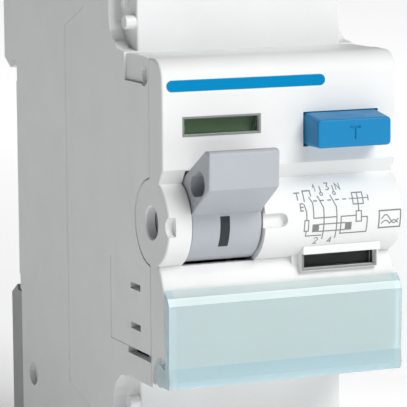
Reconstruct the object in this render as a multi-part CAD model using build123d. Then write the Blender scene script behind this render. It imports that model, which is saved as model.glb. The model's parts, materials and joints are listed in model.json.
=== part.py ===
from build123d import *
import math
import os

# Two-module residual current device for a 35 mm top-hat rail, in millimetres.
# X runs across the width, the front faces -Y and +Z is up.
# The origin is the centre of the face that rests on the rail.

# ---- casing ----
HALF_W = 17.5
WALL = 1.3
INNER_W = HALF_W - WALL
HALF_H = 41.5
INNER_H = 40.0
NOSE_H = 22.5
TERMINAL_Y = -45.2
TERMINAL_BACK = -43.4
TERMINAL_W = 15.5
CHANNEL_Y = -39.6
COVER_SEAM_Y = -54.0
NOSE_Y = -58.7
PAD_H = 15.0
EDGE_R = 0.3
CLIP_W = 17.4
CLIP_Y = (-0.4, 4.1)
CLIP_TOP = -17.4
RECESS_Y = -0.75
SEAM_BEVEL = 0.35
PLATE_GAP = 0.04
NOSE_IN = NOSE_H - WALL
TERMINAL_IN = 14.2
POLE_WALL = 0.7
COLUMN_Z = 36.0
COLUMN_R = 2.9
LOW_SOCKET = (-5.7, -29.7)
LOW_SOCKET_R = 1.9
NOSE_SOCKET = (-52.3, 20.0)
NOSE_SOCKET_R = 1.5
PEG_AT = (-44.15, 26.6)
PEG_R = 0.95
GUIDE_Z = (-38, -31)
GUIDE_STEM_X = 5
GUIDE_BAR_X = 8
REAR_Y = -0.3
REAR_IN = -1.8
HOOK_Y = 5.3
SEAM_TOP = [(-22.0, 25.0), (-29.4, 27.8), (-30.0, 28.6), (-30.0, HALF_H)]
SEAM_LOW = [(-30.6, -HALF_H), (-30.6, -30.4), (-29.6, -29.8), (-22.0, -28.0)]
SEAM_GAP = 0.12
POLE_X = 8.75

# ---- lever and its lobe ----
HUB_Y = -54.7
HUB_Z = 0.2
LOBE_R = 6.05
DRUM_R = 5.55
DRUM_X = (-13.95, -3.65)
LEVER_SLOT_X = (-14.15, -3.35)
JOURNAL_R = 3.1
RUN_GAP = 0.05
DRIVE_HOLE_R = 2.2

# ---- linkage ----
LINK_PIN = (-52.45, 3.14)
CARRIER_PIN = (-40.4, 6.0)
PIN_R = 0.9
LINK_X = (-9.6, -8.0)
LINK_SLOT_X = (-9.95, -7.65)
FORK_X = ((-11.2, -9.9), (-7.7, -6.4))

# ---- contacts ----
STRIP_HALF = 3.4
STRIP_T = 2.0
BAR_Y = (-27.4, -25.4)
FIXED_Y = (-14.0, -12.0)
TIP_R = 1.7
TIP_T = 1.2
TOUCH_GAP = 0.02
TIP_Z = (21.0, 10.0)
BRIDGE_T = 1.5
CARRIER_Z = (12.2, 18.8)
SLIDE_Z = 15.5

# ---- terminals ----
SCREW_Z = 33.5
SCREW_R = 2.4
HEAD_R = 3.3
ACCESS_R = 3.1
CAGE_Z = 4.0
CAGE_X = 4.8
CAGE_Y = (-32.6, -15.2)
CAGE_WINDOW_Y = (-29.8, -16.6)
CAGE_WALL = 1.1

# ---- trip train ----
LATCH_AXIS = (-40.0, -4.5)
BRACKET_AXIS = (-31.0, 8.0)
AXLE_R = 1.0
RELAY_X = (0.6, 14.4)
RELAY_Y = (-54.0, -39.0)
RELAY_Z = (-21.0, -9.6)
PLUNGER_AT = (9.0, -46.5)

# ---- current transformer ----
RING_Y = -21.0
RING_Z = (-20.0, -10.0)
RING_OUT = 12.4
RING_IN = 7.6
CASE_T = 0.7
TURNS = 40
WIRE_R = 0.22

# ---- label cover ----
COVER_PIVOT = (-57.1, -20.4)
COVER_TOP = -8.45
COVER_LOW = -21.8
COVER_BACK = -59.0
COVER_FRONT = -60.6
EAR_X = 16.6
EAR_R = 1.6
EAR_PIN_R = 0.8

# ---- windows and button ----
POSITION_OPEN_X = (-14.3, -3.35)
POSITION_OPEN_Z = (12.35, 14.5)
FAULT_OPEN_X = (3.2, 14.1)
FAULT_OPEN_Z = (-6.95, -4.9)
LENS_GAP = 0.05
BUTTON_X = (3.4, 14.5)
BUTTON_Z = (10.0, 14.5)
BUTTON_GAP = 0.12


def block(x, y, z):
    centre = Pos((x[0] + x[1]) / 2, (y[0] + y[1]) / 2, (z[0] + z[1]) / 2)
    return centre * Box(abs(x[1] - x[0]), abs(y[1] - y[0]), abs(z[1] - z[0]))


def rod_x(x, y, z, r):
    return Pos((x[0] + x[1]) / 2, y, z) * Rot(0, 90, 0) * Cylinder(r, abs(x[1] - x[0]))


def rod_y(y, x, z, r):
    return Pos(x, (y[0] + y[1]) / 2, z) * Rot(90, 0, 0) * Cylinder(r, abs(y[1] - y[0]))


def rod_z(z, x, y, r):
    return Pos(x, y, (z[0] + z[1]) / 2) * Cylinder(r, abs(z[1] - z[0]))


def slab_x(points, x):
    face = Plane.YZ.offset(min(x)) * make_face(Polyline(*points, close=True))
    return extrude(face, amount=abs(x[1] - x[0]))


def tube(path, r):
    start = Plane(origin=path @ 0, z_dir=path % 0)
    return sweep(start * Circle(r), path=path)


def coil(turns, length, radius, wire):
    path = Helix(pitch=length / turns, height=length, radius=radius)
    start = Plane(origin=path @ 0, z_dir=path % 0)
    return sweep(start * Circle(wire), path=path, is_frenet=True)


def edges_in(shape, x, y, z):
    def inside(edge):
        c = edge.center()
        return x[0] < c.X < x[1] and y[0] < c.Y < y[1] and z[0] < c.Z < z[1]

    return shape.edges().filter_by(inside)


def save(shape, name):
    shape.label = name
    export_step(shape, os.path.join("parts", name + ".step"))


# ---------------------------------------------------------------- casing


def rear_outline():
    rear = [(REAR_Y, -HALF_H), (REAR_Y, -PAD_H), (0.0, -PAD_H), (0.0, PAD_H), (REAR_Y, PAD_H)]
    hook = [(REAR_Y, 18.3), (1.3, 18.3), (1.3, 17.3), (2.5, 16.9), (HOOK_Y, 18.4), (HOOK_Y, HALF_H)]
    front = [(y, z) for y, z in reversed(SEAM_TOP)]
    low = [(y, z) for y, z in reversed(SEAM_LOW)]
    return rear + hook + front + low


def rear_base():
    body = slab_x(rear_outline(), (-HALF_W, HALF_W))
    cavity = [(REAR_IN, -INNER_H), (REAR_IN, INNER_H), (-40, INNER_H), (-40, -INNER_H)]
    body -= slab_x(cavity, (-INNER_W, INNER_W))
    # pockets behind the upper half keep the wall thickness even
    for x in ((-15.6, -0.8), (0.8, 15.6)):
        body -= block(x, (1.3, HOOK_Y + 1), (20.5, 29.5))
        body -= block(x, (1.3, HOOK_Y + 1), (31.0, 39.8))
    # cable entries at top and bottom
    for side in (-1, 1):
        for x in (-POLE_X, POLE_X):
            body -= block((x - 4.4, x + 4.4), (-25.2, -15.4), (side * 39, side * 43))
    # wall between the two poles
    pole_wall = (-POLE_WALL, POLE_WALL)
    body += block(pole_wall, (REAR_IN, -29.9), (27.0, INNER_H))
    body += block(pole_wall, (REAR_IN, -30.4), (-INNER_H, -30.6))
    body += block(pole_wall, (REAR_IN, -13.0), (4.0, 27.0))
    # blocks that back the fixed contacts and the load bars
    for x in (-POLE_X, POLE_X):
        body += block((x - 3, x + 3), (REAR_IN, FIXED_Y[1]), (19.2, 25.8))
        body += block((x - 3, x + 3), (REAR_IN, FIXED_Y[1]), (5.6, 12.4))
        body += block((x - 3, x + 3), (REAR_IN, BAR_Y[1]), (-28.9, -27.3))
        body += block((x - 3, x + 3), (REAR_IN, -8.4), (-19.6, -10.4))
    # recess for the rail clip and the T-shaped guide it slides on
    body -= block((-HALF_W - 1, HALF_W + 1), (RECESS_Y, 1.0), (-HALF_H - 1, CLIP_TOP))
    body += block((-GUIDE_STEM_X, GUIDE_STEM_X), (RECESS_Y, 3.2), GUIDE_Z)
    body += block((-GUIDE_BAR_X, GUIDE_BAR_X), (3.2, 4.6), GUIDE_Z)
    # screw columns, open from behind through the guide
    for z in (-COLUMN_Z, COLUMN_Z):
        body += rod_y((REAR_IN, -29.8), 0, z, COLUMN_R)
        body -= rod_y((HOOK_Y + 1, -35), 0, z, 1.45)
        body -= rod_y((HOOK_Y + 1, -2.9), 0, z, 2.6)
    # locating sockets for add-on modules, low at the back of both sides
    for side in (-1, 1):
        body += rod_x((side * 15.2, side * INNER_W), *LOW_SOCKET, LOW_SOCKET_R + 1.0)
        body -= rod_x((side * 18, side * 16.5), *LOW_SOCKET, LOW_SOCKET_R)
    # bevel along the upright part of the side seams
    for side in (-1, 1):
        at_side = (side * HALF_W - 0.01, side * HALF_W + 0.01)
        body = chamfer(edges_in(body, at_side, (-22.01, -21.99), (-5, 5)), SEAM_BEVEL)
    return body


def housing_outline():
    top = [(y - SEAM_GAP, z) for y, z in SEAM_TOP]
    low = [(y - SEAM_GAP, z) for y, z in SEAM_LOW]
    nose_top = [(TERMINAL_Y, HALF_H), (TERMINAL_Y, NOSE_H), (COVER_SEAM_Y, NOSE_H)]
    nose_low = [(COVER_SEAM_Y, -NOSE_H), (TERMINAL_Y, -NOSE_H), (TERMINAL_Y, -HALF_H)]
    return top + nose_top + nose_low + low


def channel_cut(side, end):
    # side channel beside each terminal front, curving out to the nose corner
    straight = [(-46, 43), (CHANNEL_Y, 43), (CHANNEL_Y, 26.6)]
    curve = [(-40.1, 25.3), (-41.2, 24.0), (-42.7, 23.0), (-46, 22.55)]
    edge = straight + curve
    points = [(y, end * z) for y, z in edge]
    return slab_x(points, (side * TERMINAL_W, side * 18.5))


def front_housing():
    body = slab_x(housing_outline(), (-HALF_W, HALF_W))
    body -= block((-INNER_W, INNER_W), (-20, -38.4), (-INNER_H, INNER_H))
    body -= block((-TERMINAL_IN, TERMINAL_IN), (-38, TERMINAL_BACK), (-INNER_H, INNER_H))
    body -= block((-INNER_W, INNER_W), (-38, -60), (-NOSE_IN, NOSE_IN))
    for side in (-1, 1):
        for end in (-1, 1):
            body -= channel_cut(side, end)
            if side < 0:
                body += rod_x((side * TERMINAL_W, side * 17.0), PEG_AT[0], end * PEG_AT[1], PEG_R)
            body += block((side * 15.3, side * 16.3), (-42.2, -41.4), (end * 28.5, end * 33.5))
    # soften the corners of the terminal fronts
    for side in (-1, 1):
        for end in (-1, 1):
            beyond_nose = (NOSE_H + 0.1, HALF_H) if end > 0 else (-HALF_H, -NOSE_H - 0.1)
            at_corner = (side * TERMINAL_W - 0.01, side * TERMINAL_W + 0.01)
            body = fillet(edges_in(body, at_corner, (-45.3, -45.1), beyond_nose), EDGE_R)
    # nose sides: notch for the round cheek of the front cover
    for side in (-1, 1):
        body -= rod_x((side * 14, side * 18), HUB_Y, HUB_Z, 6.15)
        # shallow pad at the top corner of the nose, with its locating hole
        body -= block((side * 17.1, side * 18), (-45.3, -51.9), (18.8, 23))
        body -= rod_x((side * 16.5, side * 18), *NOSE_SOCKET, NOSE_SOCKET_R)
    # left side: seat for the blanking plate and the coupling slot under it
    body -= block((-18, -16.5), (-39.1, -55), (-18.25, -6.45))
    body -= block((-18, -16), (-41, -53), (-16.8, -7.9))
    body -= block((-18, -15), (-45.6, -55), (-19.15, -18.25))
    # wall between poles, screw guides and access holes
    pole_wall = (-POLE_WALL, POLE_WALL)
    body += block(pole_wall, (-30.9, TERMINAL_Y + 1), (NOSE_IN, INNER_H))
    body += block(pole_wall, (-30.9, TERMINAL_Y + 1), (-INNER_H, -NOSE_IN))
    for end in (-1, 1):
        for x in (-POLE_X, POLE_X):
            body += rod_y((-39.4, TERMINAL_BACK), x, end * SCREW_Z, 4.6)
            body -= rod_y((-39.0, -42.2), x, end * SCREW_Z, HEAD_R + 0.2)
            body -= rod_y((-41, -46), x, end * SCREW_Z, ACCESS_R)
        # column that takes the long casing screw
        body += rod_y((-30.9, TERMINAL_BACK), 0, end * COLUMN_Z, COLUMN_R)
        body -= rod_y((-30, -42.6), 0, end * COLUMN_Z, 1.3)
    # open the way from the space in the nose to the terminals above and below it
    body -= block((-TERMINAL_IN, TERMINAL_IN), (-30, TERMINAL_BACK), (NOSE_IN, NOSE_H + 1))
    body -= block((-TERMINAL_IN, TERMINAL_IN), (-30, TERMINAL_BACK), (-NOSE_H - 1, -NOSE_IN))
    return body


def cover_outline():
    # side view of the front cover, round the lobe that carries the lever
    roof = Line((COVER_SEAM_Y - SEAM_GAP, NOSE_H), (-55.4, NOSE_H))
    brow = ThreePointArc((-55.4, NOSE_H), (-57.7, 21.7), (-58.6, 19.4))
    face = Polyline((-58.6, 19.4), (NOSE_Y, 18.0), (NOSE_Y, 7.7), (-57.3, 5.68))
    lobe = ThreePointArc((-57.3, 5.68), (HUB_Y - LOBE_R, HUB_Z), (-56.8, -5.5))
    valley = Polyline((-56.8, -5.5), (-57.7, -6.7), (-58.6, -8.6), (NOSE_Y, -9.2), (NOSE_Y, COVER_PIVOT[1]))
    heel = ThreePointArc((NOSE_Y, COVER_PIVOT[1]), (-58.23, -21.53), (COVER_PIVOT[0], -22.0))
    back = Polyline(
        (COVER_PIVOT[0], -22.0),
        (-54.5, -22.0),
        (-54.4, -NOSE_H),
        (COVER_SEAM_Y - SEAM_GAP, -NOSE_H),
        (COVER_SEAM_Y - SEAM_GAP, NOSE_H),
    )
    return make_face([roof, brow, face, lobe, valley, heel, back])


def front_cover():
    body = extrude(Plane.YZ.offset(-HALF_W) * cover_outline(), amount=2 * HALF_W)
    for side in (-1, 1):
        rim = edges_in(body, (side * HALF_W - 0.01, side * HALF_W + 0.01), (-62, -54.6), (-30, 30))
        body = fillet(rim, EDGE_R)
    # hollow the inside to an even wall
    body -= block((-16.1, 16.1), (-50, -57.2), (8.1, 21.1))
    body -= block((-16.1, 16.1), (-50, -57.2), (-20.9, -10.2))
    body -= block((-16.1, 16.1), (-50, -55.7), (-11, 9))
    body -= rod_x((-1.3, 16.1), HUB_Y, HUB_Z, 4.6)
    # round cheeks at both sides, and the inner bearing plate
    left = rod_x((-HALF_W, -14.2), HUB_Y, HUB_Z, LOBE_R - 0.02)
    right = rod_x((15.9, HALF_W), HUB_Y, HUB_Z, LOBE_R - 0.02)
    body += fillet(edges_in(left, (-17.6, -17.4), (-70, 0), (-30, 30)), EDGE_R)
    body += fillet(edges_in(right, (17.4, 17.6), (-70, 0), (-30, 30)), EDGE_R)
    body += rod_x((-3.3, -1.3), HUB_Y, HUB_Z, LOBE_R - 0.05)
    # opening for the lever and its drum
    body -= block(LEVER_SLOT_X, (-49, -62), (-5.6, 7.5))
    body -= rod_x(LEVER_SLOT_X, HUB_Y, HUB_Z, 5.9)
    body -= rod_x((-16.1, -14), HUB_Y, HUB_Z, JOURNAL_R + RUN_GAP)
    body -= rod_x((-18, -14), HUB_Y, HUB_Z, DRIVE_HOLE_R)
    body -= Pos(-HALF_W, HUB_Y, HUB_Z) * Rot(0, 90, 0) * Cone(2.9, 1.9, 0.8)
    body -= rod_x((-3.5, -1), HUB_Y, HUB_Z, JOURNAL_R + RUN_GAP)
    # finger notches in the lobe beside the lever
    body -= rod_x((-18, -16.45), HUB_Y - LOBE_R - 0.15, 0.3, 1.35)
    body -= block((-3.4, -1.0), (-62, -59.9), (-0.7, 1.3))
    body -= rod_y((-62, -59.9), -1.0, 0.3, 1.0)
    # position window, test button and fault window openings
    body -= block(POSITION_OPEN_X, (-54, -60), POSITION_OPEN_Z)
    button_x = (BUTTON_X[0] - BUTTON_GAP, BUTTON_X[1] + BUTTON_GAP)
    button_z = (BUTTON_Z[0] - BUTTON_GAP, BUTTON_Z[1] + BUTTON_GAP)
    body -= block(button_x, (-54, -60), button_z)
    body += block((2.0, 15.3), (-56.0, -57.6), (-7.0, -4.6))
    body += block((2.9, 14.6), (-56.4, -58.9), (-7.3, -4.9))
    body += block((2.9, 14.6), (-56.4, -59.5), (-4.9, -3.8))
    body -= block((2.4, 14.9), (-53, -57.0), (-11, -1.2))
    body -= block(FAULT_OPEN_X, (-54, -60), FAULT_OPEN_Z)
    # label pocket, hinge recesses and hinge bores
    body -= block((-15.6, 15.6), (-58.4, -60), (-19.8, -9.6))
    for side in (-1, 1):
        body -= rod_x((side * 16.4, side * 18), *COVER_PIVOT, 2.65)
        body -= block((side * 16.4, side * 18), (-56.5, -60), (-22.5, -18.2))
        body -= rod_x((side * 14, side * 18), *COVER_PIVOT, 0.85)
    # snap tongues that hold the cover in the housing
    for side in (-1, 1):
        for z in (12.0, -18.0):
            body += block((side * 15.45, side * 16.15), (-50.0, -57.3), (z - 1.25, z + 1.25))
    return body


def aux_blanking_plate():
    body = block((-17.45, -16.6), (-39.1 - PLATE_GAP, -53.85), (-18.25 + PLATE_GAP, -6.45 - PLATE_GAP))
    body += block((-16.6, -15.7), (-41.2, -52.8), (-16.6, -8.1))
    for z in (-9.5, -15.1):
        body -= block((-18, -15), (-50.2, -46.6), (z - 0.45, z + 0.45))
    return body


def lens(x, y, z):
    # a clear lens set in its opening with an even gap
    wide = (x[0] + LENS_GAP, x[1] - LENS_GAP)
    tall = (z[0] + LENS_GAP, z[1] - LENS_GAP)
    return block(wide, y, tall)


def label_cover():
    shell = [
        (COVER_BACK, COVER_TOP),
        (-60.05, -9.4),
        (COVER_FRONT, -10.4),
        (-60.5, -16.2),
        (-60.3, -19.0),
        (COVER_FRONT, -20.7),
        (-60.2, COVER_LOW),
        (COVER_BACK, COVER_LOW),
    ]
    body = slab_x(shell, (-HALF_W, HALF_W))
    body -= block((-EAR_X, EAR_X), (-57, -59.75), (-20.9, -9.6))
    for side in (-1, 1):
        body += rod_x((side * EAR_X, side * HALF_W), *COVER_PIVOT, EAR_R)
        body += block((side * EAR_X, side * HALF_W), (COVER_PIVOT[0], -59.2), (COVER_LOW, -19.3))
        body += rod_x((side * 15.0, side * 16.8), *COVER_PIVOT, EAR_PIN_R)
    return body


def label_card():
    return block((-15.4, 15.4), (-58.42, -58.66), (-19.7, -9.7))


def position_window():
    return lens(POSITION_OPEN_X, (-58.3, -57.25), POSITION_OPEN_Z)


def fault_window():
    return lens(FAULT_OPEN_X, (-58.2, -57.4), FAULT_OPEN_Z)


def casing_screws():
    screws = []
    for z in (-COLUMN_Z, COLUMN_Z):
        head = rod_y((-0.9, -2.8), 0, z, 2.4)
        shank = rod_y((-2.8, -42.2), 0, z, 1.25)
        slot = block((-0.3, 0.3), (-0.5, -1.9), (z - 1.6, z + 1.6))
        cross = block((-1.6, 1.6), (-0.5, -1.9), (z - 0.3, z + 0.3))
        screws.append(head + shank - slot - cross)
    return Compound(children=screws)


def din_clip():
    side = [
        (CLIP_Y[0], -17.8),
        (1.25, -17.7),
        (1.45, -16.9),
        (CLIP_Y[1], -18.5),
        (CLIP_Y[1], -42.0),
        (2.8, -43.5),
        (CLIP_Y[0], -43.5),
    ]
    body = slab_x(side, (-CLIP_W, CLIP_W))
    body -= block((-5.3, 5.3), (-1, 5), (-38.4, -20.4))
    body -= block((-8.3, 8.3), (2.9, 5), (-38.4, -26.6))
    body -= block((-4, 4), (-1, 5), (-42.4, -41.0))
    return body


def din_clip_spring():
    return Pos(0, 2.2, -30.75) * coil(7, 10.1, 1.35, 0.25)


# ---------------------------------------------------------------- lever and linkage


def lever():
    tab = [
        (-65.0, 10.85),
        (-65.8, 10.75),
        (-66.1, 10.4),
        (-65.9, 5.64),
        (-60.1, 1.62),
        (-58.0, -1.0),
        (HUB_Y, HUB_Z),
        (HUB_Y, 4.85),
    ]
    grip = slab_x(tab, DRUM_X)
    grip = fillet(edges_in(grip, (-20, 0), (-70, -60.3), (1.7, 12)), 0.3)
    drum = rod_x(DRUM_X, HUB_Y, HUB_Z, DRUM_R)
    body = chamfer(drum.edges(), 0.2) + grip
    body += rod_x((-15.9, DRUM_X[0]), HUB_Y, HUB_Z, JOURNAL_R)
    body += rod_x((DRUM_X[1], -1.5), HUB_Y, HUB_Z, JOURNAL_R)
    body += rod_x((-1.5, 1.4), HUB_Y, HUB_Z, 1.9)
    # slotted eye through the tab for a tie bar
    eye = slab_x([(-63.0, 7.9), (-63.0, 4.6), (-61.3, 4.3), (-61.3, 7.2)], (-16, -1))
    eye += rod_x((-16, -1), -61.3, 5.75, 1.45)
    eye += rod_x((-16, -1), -63.0, 6.25, 1.65)
    body -= eye
    # drive socket in the end of the journal
    body -= slab_x([(HUB_Y - 1.2, HUB_Z - 1.2), (HUB_Y + 1.2, HUB_Z - 1.2), (HUB_Y + 1.2, HUB_Z + 1.2),
                    (HUB_Y - 1.2, HUB_Z + 1.2)], (-16, -12.4))
    # groove and pin hole for the drive link
    body -= block(LINK_SLOT_X, (HUB_Y, HUB_Y + 7), (-7, 7))
    body -= rod_x((-12.6, -5.0), *LINK_PIN, PIN_R + 0.02)
    # engraved bar that shows the closed state
    body -= block((-9.6, -8.6), (-59.9, -61), (-2.9, 1.3))
    return body


def lever_spring():
    ring = Pos(-1.1, HUB_Y, HUB_Z) * Rot(0, 90, 0) * coil(4, 2.3, 2.5, 0.25)
    return ring


def link_pin():
    return rod_x((-12.5, -5.1), *LINK_PIN, PIN_R)


def drive_link():
    dy = CARRIER_PIN[0] - LINK_PIN[0]
    dz = CARRIER_PIN[1] - LINK_PIN[1]
    length = math.hypot(dy, dz)
    uy = dy / length
    uz = dz / length
    half = 1.2
    y0, z0 = LINK_PIN
    y1, z1 = CARRIER_PIN
    bar = [(y0 - uz * half, z0 + uy * half), (y0 + uz * half, z0 - uy * half),
           (y1 + uz * half, z1 - uy * half), (y1 - uz * half, z1 + uy * half)]
    body = slab_x(bar, LINK_X)
    body += rod_x(LINK_X, y0, z0, 1.65)
    body += rod_x(LINK_X, y1, z1, 2.1) + rod_x(LINK_X, y1, z1 - 0.85, 2.1)
    body -= rod_x((-11, -7), y0, z0, PIN_R + RUN_GAP)
    body -= rod_x((-11, -7), y1, z1, 1.12) + rod_x((-11, -7), y1, z1 - 0.85, 1.12)
    body -= block((-11, -7), (y1 - 1.12, y1 + 1.12), (z1 - 0.85, z1))
    return body


def carrier_pin():
    return rod_x((FORK_X[0][0], FORK_X[1][1]), *CARRIER_PIN, PIN_R)


def contact_carrier():
    z = CARRIER_Z
    body = block((-13.6, 13.6), (-27.2, -24.2), z)
    for x in (-POLE_X, POLE_X):
        body += block((x - 4.85, x + 4.85), (-27.2, -14.9), z)
        body -= block((x - 3.7, x + 3.7), (-24.2, -16.25), (0, 30))
        body += rod_y((-24.2, -22.8), x, SLIDE_Z, 0.9)
    for side in (-1, 1):
        body += block((side * 13.5, side * 15.6), (-26.8, -23.6), (SLIDE_Z - 1.2, SLIDE_Z + 1.2))
    under = [(-27.2, 18.8), (-27.2, 12.2), (-34.0, 11.2), (-38.6, 4.6), (-41.9, 4.2)]
    over = [(-42.3, 7.4), (-36.0, 14.6), (-31.0, 18.8)]
    arm = under + over
    for x in FORK_X:
        body += slab_x(arm, x)
    body -= rod_x((-12, -6), *CARRIER_PIN, PIN_R + 0.02)
    return body


def bridge_contact(x):
    y = -15.2 - TOUCH_GAP - TIP_T
    body = block((x - STRIP_HALF, x + STRIP_HALF), (y, y - BRIDGE_T), (7.6, 22.8))
    return body


def bridge_tips():
    y = -15.2 - TOUCH_GAP
    tips = [rod_y((y, y - TIP_T), x, z, TIP_R) for x in (-POLE_X, POLE_X) for z in TIP_Z]
    return Compound(children=tips)


def contact_springs():
    front = -15.2 - TOUCH_GAP - TIP_T - BRIDGE_T
    springs = []
    for x in (-POLE_X, POLE_X):
        wire = coil(5, 24.2 + front - 0.66, 2.0, 0.3)
        springs.append(Pos(x, front - 0.33, SLIDE_Z) * Rot(90, 0, 0) * wire)
    return Compound(children=springs)


# ---------------------------------------------------------------- current path


def line_bar(x):
    span = (x - STRIP_HALF, x + STRIP_HALF)
    body = block(span, BAR_Y, (24.0, 38.6))
    body += block(span, (BAR_Y[0], FIXED_Y[1]), (24.0, 26.0))
    body += block(span, FIXED_Y, (19.3, 26.0))
    return body


def transfer_strip(x):
    span = (x - STRIP_HALF, x + STRIP_HALF)
    return block(span, FIXED_Y, (4.4, 12.2))


def fixed_tips():
    tips = [rod_y((-15.2, FIXED_Y[0]), x, z, TIP_R) for x in (-POLE_X, POLE_X) for z in TIP_Z]
    return Compound(children=tips)


def primary_conductor(x):
    s = 1 if x > 0 else -1
    path = Spline(
        (x, -13.0, 4.4),
        (s * 6.6, -15.5, 0.6),
        (s * 3.2, -20.4, -6.0),
        (s * 3.0, RING_Y, -14.0),
        (s * 3.2, -21.3, -21.5),
        (s * 6.8, -24.8, -24.6),
        (x, -26.4, -27.0),
        tangents=[(0, 0, -1), (0, 0, -1)],
    )
    return tube(path, 1.8)


def load_bar(x):
    span = (x - STRIP_HALF, x + STRIP_HALF)
    return block(span, BAR_Y, (-38.6, -27.0))


def terminal_screw(x, z):
    head = rod_y((-41.6, -38.3), x, z, HEAD_R)
    body = head + rod_y((-38.3, BAR_Y[0] - 0.05), x, z, SCREW_R)
    body -= block((x - 2.8, x + 2.8), (-42, -40.2), (z - 0.5, z + 0.5))
    body -= block((x - 0.5, x + 0.5), (-42, -39.8), (z - 1.9, z + 1.9))
    return body


def terminal_cage(x, z):
    body = block((x - CAGE_X, x + CAGE_X), CAGE_Y, (z - CAGE_Z, z + CAGE_Z))
    body -= block((x - CAGE_X + CAGE_WALL, x + CAGE_X - CAGE_WALL), CAGE_WINDOW_Y, (z - 6, z + 6))
    body -= rod_y((-40, -29), x, z, SCREW_R + RUN_GAP)
    return body


# ---------------------------------------------------------------- current transformer and relay


def ring_solid(r_out, r_in, z):
    return rod_z(z, 0, RING_Y, r_out) - rod_z((z[0] - 1, z[1] + 1), 0, RING_Y, r_in)


def toroid_core():
    return ring_solid(RING_OUT, RING_IN, (RING_Z[0] + 0.75, RING_Z[1] - 0.75))


def toroid_case():
    outer = ring_solid(RING_OUT + CASE_T, RING_IN - CASE_T, RING_Z)
    return outer - ring_solid(RING_OUT + 0.05, RING_IN - 0.05, (RING_Z[0] + 0.7, RING_Z[1] - 0.7))


def secondary_winding():
    gap = WIRE_R + 0.04
    inner = RING_IN - CASE_T - gap
    outer = RING_OUT + CASE_T + gap
    low = RING_Z[0] - gap
    high = RING_Z[1] + gap
    frame = make_face(Polyline((inner, low), (outer, low), (outer, high), (inner, high), close=True))
    rounded = Plane.XZ * fillet(frame.vertices(), 0.25)
    loop_wire = rounded.faces()[0].outer_wire()
    start = Plane(origin=loop_wire @ 0, z_dir=loop_wire % 0)
    turn = sweep(start * Circle(WIRE_R), path=loop_wire)
    turns = [Pos(0, RING_Y, 0) * Rot(0, 0, 360 / TURNS * (i + 0.5)) * turn for i in range(TURNS)]
    return Compound(children=turns)


def relay_base():
    return block(RELAY_X, RELAY_Y, (RELAY_Z[0], -19.8))


def relay_cap():
    body = block(RELAY_X, RELAY_Y, (-19.75, RELAY_Z[1]))
    wall = 0.8
    inside_x = (RELAY_X[0] + wall, RELAY_X[1] - wall)
    inside_y = (RELAY_Y[0] + wall, RELAY_Y[1] - wall)
    body -= block(inside_x, inside_y, (-21, RELAY_Z[1] - wall))
    body -= rod_z((-12, -9), *PLUNGER_AT, 1.05)
    return body


def relay_yoke():
    body = block((2.4, 12.8), (-48.2, -44.8), (-19.7, -18.2))
    body += block((2.4, 4.4), (-48.2, -44.8), (-19.7, -14.1))
    body += block((10.3, 12.0), (-47.6, -45.4), (-19.7, -14.1))
    return body


def relay_magnet():
    return block((5.2, 8.0), (-48.0, -45.0), (-18.15, -16.4))


def relay_coil():
    body = rod_z((-18.1, -14.4), 11.15, -46.5, 1.9)
    body -= block((10.25, 12.05), (-47.65, -45.35), (-20, -13))
    body += rod_z((-18.1, -17.7), 11.15, -46.5, 2.3) - block((10.25, 12.05), (-47.65, -45.35), (-20, -13))
    body += rod_z((-14.8, -14.4), 11.15, -46.5, 2.3) - block((10.25, 12.05), (-47.65, -45.35), (-20, -13))
    return body


def relay_armature():
    return block((2.4, 12.6), (-48.0, -45.0), (-14.0, -13.1))


def relay_plunger():
    body = rod_z((-13.05, -9.5), *PLUNGER_AT, 1.0)
    body += Pos(PLUNGER_AT[0], PLUNGER_AT[1], -9.5) * Sphere(1.0)
    return body


# ---------------------------------------------------------------- trip train


def trip_latch():
    y, z = LATCH_AXIS
    body = rod_x((-5.6, 10.5), y, z, 2.2)
    front = [(y, -2.5), (-54.0, -5.4), (-54.0, -6.8), (-48.6, -6.9), (-48.2, -8.45), (-44.8, -8.45),
             (-44.4, -6.9), (y, -6.5)]
    body += slab_x(front, (6.8, 10.5))
    rear = [(y, -2.5), (y, -6.5), (-31.6, -6.2), (-29.6, -4.6), (-29.6, -3.6), (-31.4, -2.3), (-32.4, -2.4),
            (-33.0, -4.0)]
    body += slab_x(rear, (-5.6, -2.6))
    body -= rod_x((-7, 12), y, z, AXLE_R + RUN_GAP)
    return body


def toggle_bracket():
    y, z = BRACKET_AXIS
    blade = [(y - 2.0, z), (y + 2.2, z), (-28.3, -3.35), (-29.2, -3.75), (-30.9, -2.55), (-31.2, 1.0)]
    body = slab_x(blade, (-5.5, -2.7)) + rod_x((-5.5, -2.7), y, z, 2.2)
    body -= rod_x((-7, -1), y, z, AXLE_R + RUN_GAP)
    return body


def frame_axles():
    return Compound(children=[
        rod_x((-15.7, 15.7), *LATCH_AXIS, AXLE_R),
        rod_x((-15.7, 15.7), *BRACKET_AXIS, AXLE_R),
    ])


def latch_spring():
    return Pos(10.9, *LATCH_AXIS) * Rot(0, 90, 0) * coil(4, 2.8, 1.6, 0.25)


def mechanism_frame():
    plates = []
    low = [(-1.9, 21.0), (-1.9, -6.8), (-44.5, -6.8)]
    front = [(-47.8, -3.0), (-47.8, 4.0), (-38.0, 16.0), (-36.0, 21.0)]
    outline = low + front
    for side in (-1, 1):
        plate = slab_x(outline, (side * 14.6, side * 15.8))
        plate -= block((side * 14, side * 16), (-31.6, -23.3), (SLIDE_Z - 1.3, SLIDE_Z + 1.3))
        plate -= rod_x((side * 14, side * 16), *LATCH_AXIS, AXLE_R + 0.02)
        plate -= rod_x((side * 14, side * 16), *BRACKET_AXIS, AXLE_R + 0.02)
        plates.append(plate)
    return plates[0] + plates[1]


def position_flag():
    return block((-14.9, -2.8), (-57.0, -56.3), (12.0, 18.9))


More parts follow.
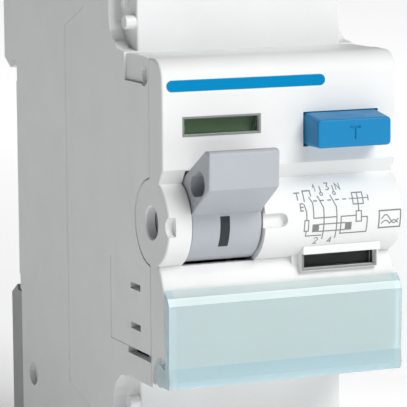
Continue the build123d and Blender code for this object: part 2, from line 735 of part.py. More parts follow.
def fault_flag():
    body = block((2.8, 14.4), (-56.9, -56.3), (-10.0, -4.4))
    body += block((7.4, 9.9), (-56.3, -53.6), (-5.2, -4.4))
    return body


# ---------------------------------------------------------------- test circuit


def test_button():
    low, high = BUTTON_Z
    side = [(-63.0, low), (-63.0, 13.85), (-58.9, high), (-56.0, high), (-56.0, low)]
    body = slab_x(side, BUTTON_X)
    body = fillet(edges_in(body, (3.3, 14.6), (-62.9, -56.1), (9, 15)), 0.6)
    body = fillet(edges_in(body, (0, 20), (-64, -62.9), (0, 20)), 0.3)
    body += block((2.5, 15.3), (-57.15, -56.0), (9.2, 15.2))
    body -= block((4.7, 13.2), (-61.6, -54), (11.1, 13.2))
    body += block((8.1, 9.9), (-61.8, -52.0), (11.4, 12.8))
    # engraved letter T
    body -= block((8.2, 9.8), (-62.85, -64), (12.55, 12.85))
    body -= block((8.85, 9.15), (-62.85, -64), (11.1, 12.6))
    return body


def test_contact_spring():
    ring = Pos(7.6, -46.0, 18.0) * Rot(0, 90, 0) * coil(4, 2.6, 1.8, 0.3)
    arm = tube(Line((9.0, -47.8, 18.0), (9.0, -52.3, 10.6)), 0.3)
    return ring + arm


def test_resistor():
    body = rod_x((4.0, 13.0), -42.0, 5.0, 2.0) + rod_x((1.6, 14.4), -42.0, 5.0, 0.35)
    body += rod_x((4.0, 5.4), -42.0, 5.0, 2.25) + rod_x((11.6, 13.0), -42.0, 5.0, 2.25)
    return body


def test_circuit_wires():
    upper = Spline(
        (12.0, -46.0, 17.4),
        (13.6, -44.6, 12.0),
        (13.9, -42.0, 6.0),
        tangents=[(0, 0, -1), (0, 0, -1)],
    )
    lower = Spline(
        (2.0, -42.0, 4.0),
        (2.0, -39.0, 0.5),
        (2.0, -36.6, -8.0),
        (2.4, -36.6, -20.0),
        (6.2, -28.0, -28.2),
    )
    feed = Spline(
        (-4.2, -28.0, 25.0),
        (0.2, -33.2, 20.2),
        (2.4, -36.2, 20.6),
        (5.0, -41.0, 20.3),
        (7.0, -45.4, 20.4),
    )
    return Compound(children=[tube(upper, 0.55), tube(lower, 0.55), tube(feed, 0.55)])


def relay_leads():
    leads = []
    for x in (5.0, 8.5):
        path = Spline((x, -34.9, -20.8), (x, -37.0, -21.0 + 0.2), (x, -38.95, -20.4))
        leads.append(tube(path, 0.35))
    return Compound(children=leads)


def main():
    os.makedirs("parts", exist_ok=True)
    save(rear_base(), "rear_base")
    save(front_housing(), "front_housing")
    save(front_cover(), "front_cover")
    save(aux_blanking_plate(), "aux_blanking_plate")
    save(label_cover(), "label_cover")
    save(label_card(), "label_card")
    save(position_window(), "position_window")
    save(fault_window(), "fault_window")
    save(casing_screws(), "casing_screws")
    save(din_clip(), "din_clip")
    save(din_clip_spring(), "din_clip_spring")
    save(lever(), "lever")
    save(lever_spring(), "lever_spring")
    save(link_pin(), "link_pin")
    save(drive_link(), "drive_link")
    save(carrier_pin(), "carrier_pin")
    save(contact_carrier(), "contact_carrier")
    save(bridge_tips(), "bridge_tips")
    save(contact_springs(), "contact_springs")
    save(fixed_tips(), "fixed_tips")
    for name, x in (("1", POLE_X), ("n", -POLE_X)):
        save(bridge_contact(x), "bridge_contact_" + name)
        save(line_bar(x), "line_bar_" + name)
        save(transfer_strip(x), "transfer_strip_" + name)
        save(primary_conductor(x), "primary_conductor_" + name)
        save(load_bar(x), "load_bar_" + name)
        for end, z in (("line", SCREW_Z), ("load", -SCREW_Z)):
            save(terminal_screw(x, z), f"terminal_screw_{end}_{name}")
            save(terminal_cage(x, z), f"terminal_cage_{end}_{name}")
    save(toroid_core(), "toroid_core")
    save(toroid_case(), "toroid_case")
    save(secondary_winding(), "secondary_winding")
    save(relay_base(), "relay_base")
    save(relay_cap(), "relay_cap")
    save(relay_yoke(), "relay_yoke")
    save(relay_magnet(), "relay_magnet")
    save(relay_coil(), "relay_coil")
    save(relay_armature(), "relay_armature")
    save(relay_plunger(), "relay_plunger")
    save(trip_latch(), "trip_latch")
    save(toggle_bracket(), "toggle_bracket")
    save(frame_axles(), "frame_axles")
    save(latch_spring(), "latch_spring")
    save(mechanism_frame(), "mechanism_frame")
    save(position_flag(), "position_flag")
    save(fault_flag(), "fault_flag")
    save(test_button(), "test_button")
    save(test_contact_spring(), "test_contact_spring")
    save(test_resistor(), "test_resistor")
    save(test_circuit_wires(), "test_circuit_wires")
    save(relay_leads(), "relay_leads")


main()
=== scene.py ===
import json
import math

import bmesh
import bpy
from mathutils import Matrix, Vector
from mathutils.bvhtree import BVHTree


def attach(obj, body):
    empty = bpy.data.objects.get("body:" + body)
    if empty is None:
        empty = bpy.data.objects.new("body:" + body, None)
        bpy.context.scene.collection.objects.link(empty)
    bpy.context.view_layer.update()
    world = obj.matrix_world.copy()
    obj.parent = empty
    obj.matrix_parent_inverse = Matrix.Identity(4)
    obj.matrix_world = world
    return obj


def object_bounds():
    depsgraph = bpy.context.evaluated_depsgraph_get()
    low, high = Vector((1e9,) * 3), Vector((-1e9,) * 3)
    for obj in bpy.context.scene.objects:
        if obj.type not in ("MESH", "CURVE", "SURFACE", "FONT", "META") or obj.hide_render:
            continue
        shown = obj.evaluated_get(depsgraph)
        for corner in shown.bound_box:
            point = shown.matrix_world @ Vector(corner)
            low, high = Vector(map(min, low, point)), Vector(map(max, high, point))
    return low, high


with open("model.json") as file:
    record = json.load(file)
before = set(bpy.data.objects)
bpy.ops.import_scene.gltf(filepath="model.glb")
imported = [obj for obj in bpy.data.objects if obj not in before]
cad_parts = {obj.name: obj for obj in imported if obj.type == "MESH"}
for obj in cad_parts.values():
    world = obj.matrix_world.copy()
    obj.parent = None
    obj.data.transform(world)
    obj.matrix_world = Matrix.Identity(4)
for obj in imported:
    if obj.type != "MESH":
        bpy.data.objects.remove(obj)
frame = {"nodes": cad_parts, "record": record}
nodes = frame["nodes"]
cad_box = [list(corner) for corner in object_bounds()]

MM = 0.001
# places on the device, in mm
NOSE_Y = -58.7
HUB_Y = -54.7
HUB_Z = 0.2
DRUM_R = 5.55


# ---------------------------------------------------------------- node helpers

# noise stays mostly between these two values
NOISE_LOW = 0.3
NOISE_HIGH = 0.7


class Material:
    """A node material whose texture space is the object's own, in metres."""

    def __init__(self, name):
        self.mat = bpy.data.materials.new(name)
        self.mat.use_nodes = True
        self.tree = self.mat.node_tree
        self.bsdf = self.tree.nodes["Principled BSDF"]
        self.where = self.tree.nodes.new("ShaderNodeTexCoord").outputs["Object"]

    def link(self, a, b):
        self.tree.links.new(a, b)

    def noise(self, size_mm, detail=2.0, rough=0.5, stretch=None):
        """Noise whose features are about size_mm across."""
        node = self.tree.nodes.new("ShaderNodeTexNoise")
        node.inputs["Scale"].default_value = 1.0 / (size_mm * MM)
        node.inputs["Detail"].default_value = detail
        node.inputs["Roughness"].default_value = rough
        source = self.where
        if stretch:
            mapping = self.tree.nodes.new("ShaderNodeMapping")
            mapping.inputs["Scale"].default_value = stretch
            self.link(self.where, mapping.inputs["Vector"])
            source = mapping.outputs["Vector"]
        self.link(source, node.inputs["Vector"])
        return node.outputs["Fac"]

    def ramp(self, value, stops):
        """A colour that runs through (position, colour) stops."""
        node = self.tree.nodes.new("ShaderNodeValToRGB")
        ramp = node.color_ramp
        while len(ramp.elements) < len(stops):
            ramp.elements.new(0.5)
        for element, (pos, colour) in zip(ramp.elements, stops):
            element.position = pos
            element.color = (*colour, 1.0)
        self.link(value, node.inputs["Fac"])
        return node.outputs["Color"]

    def spread(self, value, low, high):
        """The middle of a noise's range, stretched from low to high."""
        node = self.tree.nodes.new("ShaderNodeMapRange")
        node.inputs["From Min"].default_value = NOISE_LOW
        node.inputs["From Max"].default_value = NOISE_HIGH
        node.inputs["To Min"].default_value = low
        node.inputs["To Max"].default_value = high
        self.link(value, node.inputs["Value"])
        return node.outputs["Result"]

    def mix(self, factor, a, b):
        """Colour a where factor is 0 and b where it is 1."""
        node = self.tree.nodes.new("ShaderNodeMix")
        node.data_type = "RGBA"
        self.link(factor, node.inputs["Factor"])
        for socket, value in ((node.inputs["A"], a), (node.inputs["B"], b)):
            if isinstance(value, tuple):
                socket.default_value = (*value, 1.0)
            else:
                self.link(value, socket)
        return node.outputs["Result"]

    def bump(self, value, depth_mm, strength=1.0):
        """Relief of that depth, on top of any relief already there."""
        node = self.tree.nodes.new("ShaderNodeBump")
        node.inputs["Strength"].default_value = strength
        node.inputs["Distance"].default_value = depth_mm * MM
        self.link(value, node.inputs["Height"])
        if self.bsdf.inputs["Normal"].is_linked:
            self.link(self.bsdf.inputs["Normal"].links[0].from_socket, node.inputs["Normal"])
        self.link(node.outputs["Normal"], self.bsdf.inputs["Normal"])

    def step(self, axis, edge_mm, soft_mm=0.05):
        """0 below a plane of the object's own space and 1 above it."""
        split = self.tree.nodes.new("ShaderNodeSeparateXYZ")
        self.link(self.where, split.inputs["Vector"])
        node = self.tree.nodes.new("ShaderNodeMapRange")
        node.inputs["From Min"].default_value = (edge_mm - soft_mm) * MM
        node.inputs["From Max"].default_value = (edge_mm + soft_mm) * MM
        self.link(split.outputs[axis], node.inputs["Value"])
        return node.outputs["Result"]

    def outward(self, near_mm, far_mm, inner, outer):
        """A value that goes from inner to outer with the distance from the object's own origin."""
        length = self.tree.nodes.new("ShaderNodeVectorMath")
        length.operation = "LENGTH"
        self.link(self.where, length.inputs[0])
        node = self.tree.nodes.new("ShaderNodeMapRange")
        node.inputs["From Min"].default_value = near_mm * MM
        node.inputs["From Max"].default_value = far_mm * MM
        node.inputs["To Min"].default_value = inner
        node.inputs["To Max"].default_value = outer
        self.link(length.outputs["Value"], node.inputs["Value"])
        return node.outputs["Result"]

    def colour(self, value):
        self.link(value, self.bsdf.inputs["Base Color"])

    def rough(self, value):
        self.link(value, self.bsdf.inputs["Roughness"])

    def set(self, **values):
        for key, value in values.items():
            self.bsdf.inputs[key.replace("_", " ")].default_value = value


def shade(colour, k):
    return tuple(min(1.0, c * k) for c in colour)


def mottled(m, noise, low, high):
    """A base colour that wanders from low to high."""
    return m.ramp(noise, [(NOISE_LOW, low), (NOISE_HIGH, high)])


def plastic(name, colour, rough=0.42, grain=0.22, depth=0.006, mottle=0.03, spec=0.4):
    """Moulded plastic: fine spark-eroded grain, faint flow mottling and a roughness that wanders."""
    m = Material(name)
    slow = m.noise(9.0, detail=3.0)
    m.colour(mottled(m, slow, shade(colour, 1 - mottle), shade(colour, 1 + mottle * 0.5)))
    m.rough(m.spread(m.noise(3.0), rough - 0.05, rough + 0.05))
    m.bump(m.noise(grain, detail=1.0), depth)
    m.set(IOR=PLASTIC_IOR, Specular_IOR_Level=spec)
    return m


def metal(name, colour, rough=0.3, brush=None, mottle=0.12, depth=0.004):
    """Plated or bare metal, with drawn or brushed lines along one axis."""
    m = Material(name)
    patches = m.noise(2.2, detail=4.0, rough=0.6)
    m.colour(mottled(m, patches, shade(colour, 1 - mottle), shade(colour, 1 + mottle)))
    m.rough(m.spread(m.noise(1.1, detail=3.0), rough - 0.08, rough + 0.1))
    m.bump(m.noise(0.25, detail=2.0, stretch=brush or (1, 1, 1)), depth)
    m.set(Metallic=1.0)
    return m


# ---------------------------------------------------------------- materials

PLASTIC_IOR = 1.5
COVER_IOR = 1.45
# low, so that the thin lenses show the flags behind them without strong glints
LENS_IOR = 1.12
COVER_CLARITY = 0.45
SHELL = (0.800, 0.818, 0.814)
COVER = (0.822, 0.832, 0.827)
BLUE = (0.004, 0.225, 0.49)
GREY = (0.44, 0.465, 0.50)
# edges of the label cover's tints of painted light and shade, in mm
COVER_BAND_Z = -9.4
COVER_LIP_Z = -18.9
COVER_END_X = 16.5
# where each indicator flag changes colour, in mm
POSITION_SPLIT_Z = 15.45
FAULT_SPLIT_Z = -7.2


def two_tone(name, lower, upper, edge_mm):
    """An indicator flag: two colours moulded one above the other."""
    m = Material(name)
    slow = m.noise(4.0, detail=3.0)
    low = mottled(m, slow, shade(lower, 0.92), shade(lower, 1.05))
    high = mottled(m, slow, shade(upper, 0.92), shade(upper, 1.05))
    m.colour(m.mix(m.step("Z", edge_mm), low, high))
    m.rough(m.spread(m.noise(1.5), 0.35, 0.5))
    m.bump(m.noise(0.2), 0.004)
    return m


def clear_plastic(name, tint, rough, clear):
    """Clear moulding with the faint waves of a polished tool."""
    m = Material(name)
    slow = m.noise(7.0, detail=2.0)
    m.colour(mottled(m, slow, shade(tint, 0.985), tint))
    m.rough(m.spread(m.noise(4.0), rough, rough + 0.03))
    m.bump(m.noise(5.0, detail=1.0), 0.01, 0.4)
    m.set(IOR=LENS_IOR, Transmission_Weight=clear, Specular_IOR_Level=0.15)
    return m


def cover_plastic(name, tint, top, ends, lip):
    """Clear cover whose top slope, lower lip and two ends get tints of painted light and shade."""
    m = Material(name)
    slow = m.noise(7.0, detail=2.0)
    body = mottled(m, slow, shade(tint, 0.985), tint)
    # painted light and shade: the top slope and ends are tinted lighter and the lip bluer, for how light
    # falls
    painted_lip = m.mix(m.step("Z", COVER_LIP_Z, 0.15), lip, body)
    lit_top_band = m.mix(m.step("Z", COVER_BAND_Z, 0.25), painted_lip, top)
    left = m.mix(m.step("X", -COVER_END_X, 0.2), ends, lit_top_band)
    m.colour(m.mix(m.step("X", COVER_END_X, 0.2), left, ends))
    m.rough(m.spread(m.noise(4.0), 0.1, 0.14))
    m.bump(m.noise(6.0, detail=1.0), 0.003, 0.3)
    m.set(IOR=COVER_IOR, Transmission_Weight=COVER_CLARITY)
    return m


def card_paper(name, low, high):
    """Label card with short fibres."""
    m = Material(name)
    m.colour(mottled(m, m.noise(0.5, detail=5.0, rough=0.7), low, high))
    m.rough(m.spread(m.noise(1.0), 0.75, 0.9))
    m.bump(m.noise(0.12, detail=3.0), 0.006)
    return m


ONE_TURN = 6.2832


def wound_wire(name, colour, pitch_mm):
    """Varnished wire, with a groove between neighbouring turns."""
    m = Material(name)
    wave = m.tree.nodes.new("ShaderNodeTexWave")
    wave.inputs["Scale"].default_value = 1.0 / (pitch_mm * MM) / ONE_TURN
    wave.inputs["Distortion"].default_value = 0.3
    m.link(m.where, wave.inputs["Vector"])
    m.colour(mottled(m, m.noise(1.3, detail=3.0), shade(colour, 0.8), shade(colour, 1.15)))
    m.rough(m.spread(m.noise(0.8), 0.22, 0.36))
    m.bump(wave.outputs["Fac"], 0.04, 0.6)
    m.set(Metallic=0.85, Coat_Weight=0.4)
    return m


def ceramic(name, colour):
    """Dull fired body of the resistor."""
    m = Material(name)
    m.colour(mottled(m, m.noise(0.4, detail=5.0), shade(colour, 0.85), shade(colour, 1.08)))
    m.rough(m.spread(m.noise(0.7), 0.6, 0.8))
    m.bump(m.noise(0.25, detail=4.0), 0.015)
    return m


looks = {
    "casing": plastic("casing_plastic", SHELL),
    "cover_white": plastic("cover_plastic", COVER, rough=0.55, spec=0.25),
    # the top, ends and lip tints are painted light and shade on one clear moulding, not its own colour
    "clear_cover": cover_plastic(
        "clear_cover",
        tint=(0.725, 0.865, 0.87),
        top=(0.90, 1.0, 1.0),
        ends=(0.74, 0.92, 0.96),
        lip=(0.66, 0.86, 0.92),
    ),
    "card": card_paper("card_paper", (0.86, 0.875, 0.88), (0.92, 0.93, 0.93)),
    "clear_lens": clear_plastic("clear_lens", (0.72, 0.75, 0.74), 0.03, 1.0),
    "button_blue": plastic("button_blue", BLUE, rough=0.38, depth=0.003, mottle=0.05, spec=0.25),
    "lever_grey": plastic("lever_grey", GREY, rough=0.4),
    "clip_grey": plastic("clip_grey", (0.345, 0.365, 0.358), rough=0.45),
    "zinc_steel": metal("zinc_plate", (0.62, 0.63, 0.64), 0.3),
    "spring_steel": metal("spring_wire", (0.50, 0.51, 0.53), 0.24),
    "copper": metal("copper_strip", (0.76, 0.40, 0.26), 0.28, brush=(1, 1, 12)),
    "silver_alloy": metal("silver_tip", (0.80, 0.80, 0.78), 0.32),
    "insulation_brown": plastic("sleeve_brown", (0.12, 0.045, 0.02), rough=0.4),
    "insulation_blue": plastic("sleeve_blue", (0.02, 0.09, 0.32), rough=0.4),
    "lead_insulation": plastic("sleeve_white", (0.72, 0.71, 0.67), rough=0.45),
    "enamel_wire": wound_wire("enamel_wire", (0.62, 0.22, 0.09), 0.5),
    "ribbon_core": metal("ribbon_core", (0.33, 0.34, 0.36), 0.4, brush=(1, 1, 0.1)),
    "case_black": plastic("case_black", (0.035, 0.035, 0.037), rough=0.4),
    "relay_cap": plastic("relay_cap", (0.07, 0.075, 0.08), rough=0.25),
    "magnet": metal("sintered_magnet", (0.16, 0.16, 0.17), 0.55),
    "soft_iron": metal("soft_iron", (0.48, 0.48, 0.47), 0.35, brush=(12, 1, 1)),
    "mechanism_plastic": plastic("mechanism_plastic", (0.30, 0.31, 0.30), rough=0.5, mottle=0.07),
    "carrier_plastic": plastic("carrier_plastic", (0.07, 0.07, 0.075), rough=0.5, mottle=0.08),
    "flag_green": two_tone("position_flag", (0.125, 0.235, 0.105), (0.55, 0.03, 0.02), POSITION_SPLIT_Z),
    "flag_fault": two_tone("fault_flag", (0.75, 0.52, 0.03), (0.02, 0.023, 0.024), FAULT_SPLIT_Z),
    "resistor_body": ceramic("resistor_body", (0.62, 0.55, 0.42)),
}

for part in frame["record"]["subparts"]:
    obj = nodes[part["node"]]
    obj.data.materials.clear()
    obj.data.materials.append(looks[part["material_slot"]].mat)


# ---------------------------------------------------------------- print on the front

print_grey = plastic("print_grey", (0.24, 0.255, 0.255), rough=0.6, mottle=0.06, spec=0.1)
print_blue = plastic("print_blue", (0.0, 0.235, 0.50), rough=0.6, mottle=0.03, spec=0.05)
mark_dark = plastic("mark_dark", (0.018, 0.024, 0.03), rough=0.4)

# print stands this far out of the face and reaches this far into it, in mm
PRINT_OUT = 0.02
PRINT_IN = 0.03
# longest straight piece of a printed line, and the least cosine its corners widen for
STROKE_STEP = 0.3
CORNER_LIMIT = 0.5
# rays towards the front cover start here, in mm
RAY_START_Y = -80.0

front = nodes["front_cover"].data
cover_tree = BVHTree.FromPolygons(
    [v.co for v in front.vertices],
    [p.vertices for p in front.polygons],
)


def cover_y(x, z):
    """Y of the front cover's outer face at x, z, all in mm."""
    hit = cover_tree.ray_cast(Vector((x * MM, RAY_START_Y * MM, z * MM)), Vector((0, 1, 0)))
    return hit[0].y / MM if hit[0] else NOSE_Y


def finer(points, step):
    """The same line with its points at most step apart."""
    out = [points[0]]
    for a, b in zip(points, points[1:]):
        count = max(1, math.ceil(math.dist(a, b) / step))
        for i in range(1, count + 1):
            out.append((a[0] + (b[0] - a[0]) * i / count, a[1] + (b[1] - a[1]) * i / count))
    return out


def skin(bm, one, two):
    """Four faces between two rings of four points."""
    for k in range(4):
        bm.faces.new((one[k], one[(k + 1) % 4], two[(k + 1) % 4], two[k]))


def stroke(bm, points, width, closed=False):
    """A raised printed line of that width, laid on the front along points (x, z) in mm."""
    points = finer(points + points[:1] if closed else points, STROKE_STEP)
    if closed:
        points = points[:-1]
    count = len(points)
    rings = []
    for i, (x, z) in enumerate(points):
        before = points[i - 1] if i or closed else points[i]
        after = points[(i + 1) % count] if i + 1 < count or closed else points[i]
        a = Vector((x - before[0], z - before[1]))
        b = Vector((after[0] - x, after[1] - z))
        a = a.normalized() if a.length else b.normalized()
        b = b.normalized() if b.length else a
        side = Vector((-(a.y + b.y), a.x + b.x))
        side = side.normalized() if side.length > 1e-6 else Vector((-a.y, a.x))
        reach = width / 2 / max(CORNER_LIMIT, side.dot(Vector((-a.y, a.x))))
        ring = []
        for sign, lift in ((1, -PRINT_OUT), (-1, -PRINT_OUT), (-1, PRINT_IN), (1, PRINT_IN)):
            px, pz = x + side.x * reach * sign, z + side.y * reach * sign
            ring.append(bm.verts.new((px * MM, (cover_y(px, pz) + lift) * MM, pz * MM)))
        rings.append(ring)
    pairs = list(zip(rings, rings[1:])) + ([(rings[-1], rings[0])] if closed else [])
    for before, after in pairs:
        skin(bm, before, after)
    if not closed:
        bm.faces.new(rings[0][::-1])
        bm.faces.new(rings[-1])


def circle(x, z, r, count=16):
    """Points round a circle, from its top."""
    turns = [math.radians(90.0) + i * math.tau / count for i in range(count)]
    return [(x + r * math.cos(t), z + r * math.sin(t)) for t in turns]


def piece(name, bm, material, body):
    """A finished mesh as its own piece, on its body and in its material slot."""
    bmesh.ops.recalc_face_normals(bm, faces=bm.faces)
    mesh = bpy.data.meshes.new(name)
    bm.to_mesh(mesh)
    bm.free()
    obj = bpy.data.objects.new(name, mesh)
    bpy.context.scene.collection.objects.link(obj)
    mesh.materials.append(material.mat)
    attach(obj, body)


STRIPE_X = (-16.8, 6.6)
STRIPE_Z = (18.15, 19.7)
STRIPE_ROWS = 14


def rounded_band(bm, x, z, rows):
    """A printed bar with half-round ends, following the curve of the front."""
    radius = (z[1] - z[0]) / 2
    outer, inner = [], []
    for i in range(rows + 1):
        turn = math.pi * i / rows
        level = z[0] + radius - radius * math.cos(turn)
        inset = radius - radius * math.sin(turn)
        for ring, lift in ((outer, -PRINT_OUT), (inner, PRINT_IN)):
            row = []
            for at in (x[0] + inset, x[1] - inset):
                row.append(bm.verts.new((at * MM, (cover_y(at, level) + lift) * MM, level * MM)))
            ring.append(row)
    for ring in (outer, inner):
        for low, high in zip(ring, ring[1:]):
            bm.faces.new((low[0], low[1], high[1], high[0]))
    for end in (0, 1):
        for i in range(rows):
            bm.faces.new((outer[i][end], outer[i + 1][end], inner[i + 1][end], inner[i][end]))
    for i in (0, rows):
        bm.faces.new((outer[i][0], outer[i][1], inner[i][1], inner[i][0]))


# blue stripe with rounded ends
bm = bmesh.new()
rounded_band(bm, STRIPE_X, STRIPE_Z, STRIPE_ROWS)
piece("front_stripe", bm, print_blue, "casing")

# filled bar on the drum that shows the closed state
MARK_X = (-9.8, -8.4)
MARK_Z = (-2.9, 1.3)
MARK_STEPS = 12
bm = bmesh.new()
mark_rings = []
for i in range(MARK_STEPS + 1):
    level = MARK_Z[0] + (MARK_Z[1] - MARK_Z[0]) * i / MARK_STEPS
    tilt = math.asin((level - HUB_Z) / DRUM_R)
    ring = []
    for x, radius in ((MARK_X[0], DRUM_R + PRINT_OUT), (MARK_X[1], DRUM_R + PRINT_OUT),
                      (MARK_X[1], DRUM_R - PRINT_IN), (MARK_X[0], DRUM_R - PRINT_IN)):
        y = HUB_Y - radius * math.cos(tilt)
        z = HUB_Z + radius * math.sin(tilt)
        ring.append(bm.verts.new((x * MM, y * MM, z * MM)))
    mark_rings.append(ring)
for low, high in zip(mark_rings, mark_rings[1:]):
    skin(bm, low, high)
bm.faces.new(mark_rings[0][::-1])
bm.faces.new(mark_rings[-1])
piece("closed_mark", bm, mark_dark, "lever")

# thin grey rims round the two indicator windows: width, and how far they stand out and reach in
RIM_W = 0.28
RIM_LIFT = 0.03
POSITION_RIM_X = (-14.3, -3.35)
POSITION_RIM_Z = (12.35, 14.5)
FAULT_RIM_X = (3.2, 14.1)
FAULT_RIM_Z = (-6.95, -4.9)
FAULT_RIM_Y = -58.9
rim_grey = plastic("rim_grey", (0.27, 0.285, 0.275), rough=0.45, mottle=0.05, spec=0.25)


def window_rim(name, x, z, face_y):
    """A flat frame round an opening, standing just proud of the face it lies on."""
    bm = bmesh.new()
    loops = []
    for lift in (-RIM_LIFT, RIM_LIFT):
        for grow in (RIM_W, 0.0):
            corners = ((x[0] - grow, z[0] - grow), (x[1] + grow, z[0] - grow),
                       (x[1] + grow, z[1] + grow), (x[0] - grow, z[1] + grow))
            loops.append([bm.verts.new((a * MM, (face_y + lift) * MM, b * MM)) for a, b in corners])
    outer_front, inner_front, outer_back, inner_back = loops
    around = (outer_front, inner_front, inner_back, outer_back)
    for k in range(4):
        skin(bm, around[k], around[(k + 1) % 4])
    piece(name, bm, rim_grey, "casing")


window_rim("position_window_rim", POSITION_RIM_X, POSITION_RIM_Z, NOSE_Y)
# the top of this rim lies under the hood
window_rim("fault_window_rim", FAULT_RIM_X, FAULT_RIM_Z, FAULT_RIM_Y)

# circuit diagram on the lobe, drawn in mm along (x, z)
LINE = 0.16
THIN_LINE = LINE * 0.8
bm = bmesh.new()


def box_line(x, z, width=LINE):
    stroke(bm, [(x[0], z[0]), (x[1], z[0]), (x[1], z[1]), (x[0], z[1])], width, closed=True)


# the test branch on the left: letter T, contact, push symbol and resistor
stroke(bm, [(1.25, 3.7), (2.15, 3.7)], LINE)
stroke(bm, [(1.7, 3.7), (1.7, 2.75)], LINE)
stroke(bm, [(2.65, 2.5), (2.65, 3.9), (3.75, 3.9), (3.75, 3.15)], LINE)
stroke(bm, [(2.4, 2.3), (1.95, 2.3), (1.95, 1.35), (2.4, 1.35)], LINE)
stroke(bm, [(1.95, 1.82), (2.4, 1.82)], LINE)
stroke(bm, [(2.5, 2.25), (2.8, 1.2), (2.8, 0.0)], LINE)
box_line((2.5, 3.1), (-1.5, 0.0))
stroke(bm, [(2.8, -1.5), (2.8, -2.2), (5.2, -2.2)], LINE)
# second branch of the test circuit
stroke(bm, [(3.4, 3.1), (3.85, 2.3), (3.85, 0.25), (7.3, 0.25)], LINE)
# two poles with their moving contacts
for x in (5.4, 7.35):
    stroke(bm, [(x, 4.4), (x, 3.6)], LINE)
    stroke(bm, circle(x, 3.4, 0.2), THIN_LINE, closed=True)
    stroke(bm, [(x - 0.7, 3.2), (x, 1.6), (x, -2.8)], LINE)
# transformer ring across the poles
CORE_Z = (-1.7, -0.6)
CORE_LINES = 8
CORE_FILL = 0.9
for x in ((3.7, 4.7), (8.65, 9.65)):
    for i in range(CORE_LINES):
        level = CORE_Z[0] + (CORE_Z[1] - CORE_Z[0]) * (i + 0.5) / CORE_LINES
        stroke(bm, [(x[0], level), (x[1], level)], (CORE_Z[1] - CORE_Z[0]) / CORE_LINES * CORE_FILL)
for z in (-0.65, -1.65):
    stroke(bm, [(4.7, z), (8.65, z)], LINE)
# dashed link to the release
for x in (3.95, 5.0, 6.1, 7.3, 8.4):
    stroke(bm, [(x, 2.55), (x + 0.6, 2.55)], LINE)
stroke(bm, [(9.4, 2.55), (12.3, 2.55)], THIN_LINE)
stroke(bm, [(12.3, 2.95), (12.3, 2.15)], LINE)
box_line((9.95, 11.5), (1.8, 3.3))
stroke(bm, [(10.7, 3.3), (10.7, 0.85)], LINE)
box_line((10.3, 11.1), (-0.6, 0.85))
# winding of the transformer to the release
stroke(bm, [(10.3, 0.25), (8.0, 0.25), (8.0, -2.15), (12.0, -2.15), (12.0, 0.0), (11.1, 0.0)], LINE)
piece("circuit_diagram", bm, print_grey, "casing")

# generic terminal numbers above and below the two poles: half width and height of a figure
DIGIT_W = 0.32
DIGIT_H = 0.85
DIGITS = {
    "1": [[(-0.5, 0.6), (0.2, 1.0), (0.2, 0.0)]],
    "2": [[(-0.9, 0.8), (-0.4, 1.0), (0.5, 1.0), (0.9, 0.7), (-0.9, 0.0), (0.9, 0.0)]],
    "3": [[(-0.9, 1.0), (0.9, 1.0), (0.0, 0.55), (0.9, 0.3), (0.2, 0.0), (-0.9, 0.1)]],
    "4": [[(0.5, 0.0), (0.5, 1.0), (-0.9, 0.3), (0.9, 0.3)]],
    "N": [[(-0.9, 0.0), (-0.9, 1.0), (0.9, 0.0), (0.9, 1.0)]],
}
DIGITS_AT = (("1", 4.55, 3.75), ("3", 6.5, 3.85), ("N", 8.1, 3.8), ("2", 4.5, -3.4), ("4", 6.6, -3.45))
bm = bmesh.new()
for sign, x, z in DIGITS_AT:
    for line in DIGITS[sign]:
        stroke(bm, [(x + a * DIGIT_W, z + b * DIGIT_H) for a, b in line], THIN_LINE)
piece("terminal_numbers", bm, print_grey, "casing")

# wave-form symbol beside the diagram: a full wave over a row of half waves, in a box
WAVE_X = 14.2
WAVE_STEP = 0.1
WAVE_COUNT = 26
FULL_WAVE = (-0.55, 0.6)
HALF_WAVES = (-1.2, 0.45)
bm = bmesh.new()
box_line((13.85, 17.15), (-1.75, 0.65), 0.2)
full, half = [], []
for i in range(WAVE_COUNT + 1):
    swing = math.sin(math.tau * i / WAVE_COUNT)
    full.append((WAVE_X + WAVE_STEP * i, FULL_WAVE[0] + FULL_WAVE[1] * swing))
    half.append((WAVE_X + WAVE_STEP * i, HALF_WAVES[0] + HALF_WAVES[1] * abs(swing)))
stroke(bm, full, LINE)
stroke(bm, half, LINE)
piece("wave_symbol", bm, print_grey, "casing")

# ---------------------------------------------------------------- floor, light, camera

# the floor lies just under the device; height and radius in m
FLOOR_Z = cad_box[0][2] - 0.0002
FLOOR_RADIUS = 4.0
# it glows less near the device, so that it lights the underside less; distances in mm
FLOOR_NEAR = 80.0
FLOOR_FAR = 500.0
FLOOR_NEAR_GLOW = 0.46
FLOOR_GLOW = 0.83


def floor_disc(radius, z):
    """A pale paper floor that glows as painted light, less near the device."""
    bm = bmesh.new()
    bmesh.ops.create_circle(bm, cap_ends=True, segments=96, radius=radius)
    bmesh.ops.translate(bm, verts=bm.verts, vec=(0, 0, z))
    mesh = bpy.data.meshes.new("floor")
    bm.to_mesh(mesh)
    bm.free()
    obj = bpy.data.objects.new("floor", mesh)
    bpy.context.scene.collection.objects.link(obj)
    m = Material("glowing_floor_paper")
    m.colour(mottled(m, m.noise(60.0, detail=3.0), (0.88, 0.88, 0.88), (0.9, 0.9, 0.9)))
    m.rough(m.spread(m.noise(20.0), 0.85, 0.95))
    # painted light: the floor glows though it is no lamp, less near the device than far from it
    m.bsdf.inputs["Emission Color"].default_value = (1, 1, 1, 1)
    glow = m.outward(FLOOR_NEAR, FLOOR_FAR, FLOOR_NEAR_GLOW, FLOOR_GLOW)
    m.link(glow, m.bsdf.inputs["Emission Strength"])
    mesh.materials.append(m.mat)


floor_disc(FLOOR_RADIUS, FLOOR_Z)

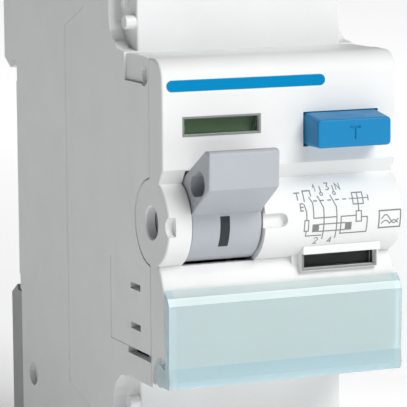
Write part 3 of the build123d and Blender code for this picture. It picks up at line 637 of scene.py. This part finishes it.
SKY = (0.95, 0.975, 1.0)
SKY_STRENGTH = 0.05
world = bpy.data.worlds.new("studio")
bpy.context.scene.world = world
world.use_nodes = True
background = world.node_tree.nodes["Background"]
background.inputs["Color"].default_value = (*SKY, 1.0)
background.inputs["Strength"].default_value = SKY_STRENGTH


def softbox(name, at, target, size, watts):
    """A square lamp that faces target; lengths in m."""
    light = bpy.data.lights.new(name, "AREA")
    light.shape = "RECTANGLE"
    light.size = size
    light.size_y = size
    light.energy = watts
    obj = bpy.data.objects.new(name, light)
    obj.location = at
    obj.rotation_euler = (Vector(target) - Vector(at)).to_track_quat("-Z", "Y").to_euler()
    bpy.context.scene.collection.objects.link(obj)


AIM = (0.0, -0.03, 0.0)
KEY_AT = (0.25, -0.68, 0.56)
KEY_SIZE = 0.5
KEY_WATTS = 6.6
OVERHEAD_AT = (0.1, -0.15, 0.75)
OVERHEAD_SIZE = 0.6
OVERHEAD_WATTS = 0.4
softbox("key", KEY_AT, AIM, KEY_SIZE, KEY_WATTS)
softbox("overhead", OVERHEAD_AT, AIM, OVERHEAD_SIZE, OVERHEAD_WATTS)

# the camera, as fitted: place in m, sensor and lens in mm
CAMERA_AT = (-0.14307, -0.36368, 0.04968)
SENSOR_W = 36.0
LENS = 221.15
CLIP_RANGE = (0.01, 20.0)
YAW = math.radians(23.322)
PITCH = math.radians(8.002)
ROLL = math.radians(-0.434)
camera = bpy.data.cameras.new("camera")
camera.sensor_width = SENSOR_W
camera.lens = LENS
camera.clip_start, camera.clip_end = CLIP_RANGE
view = bpy.data.objects.new("camera", camera)
forward = Vector((math.sin(YAW) * math.cos(PITCH), math.cos(YAW) * math.cos(PITCH), -math.sin(PITCH)))
right = Vector((math.cos(YAW), -math.sin(YAW), 0.0))
up = right.cross(forward)
cam_x = right * math.cos(ROLL) + up * math.sin(ROLL)
cam_y = up * math.cos(ROLL) - right * math.sin(ROLL)
turn = view.matrix_world.to_3x3()
for column, axis in enumerate((cam_x, cam_y, -forward)):
    for row in range(3):
        turn[row][column] = axis[row]
view.matrix_world = turn.to_4x4()
view.location = CAMERA_AT
bpy.context.scene.collection.objects.link(view)
bpy.context.scene.camera = view
bpy.context.scene.view_settings.view_transform = "Standard"

bpy.context.view_layer.update()
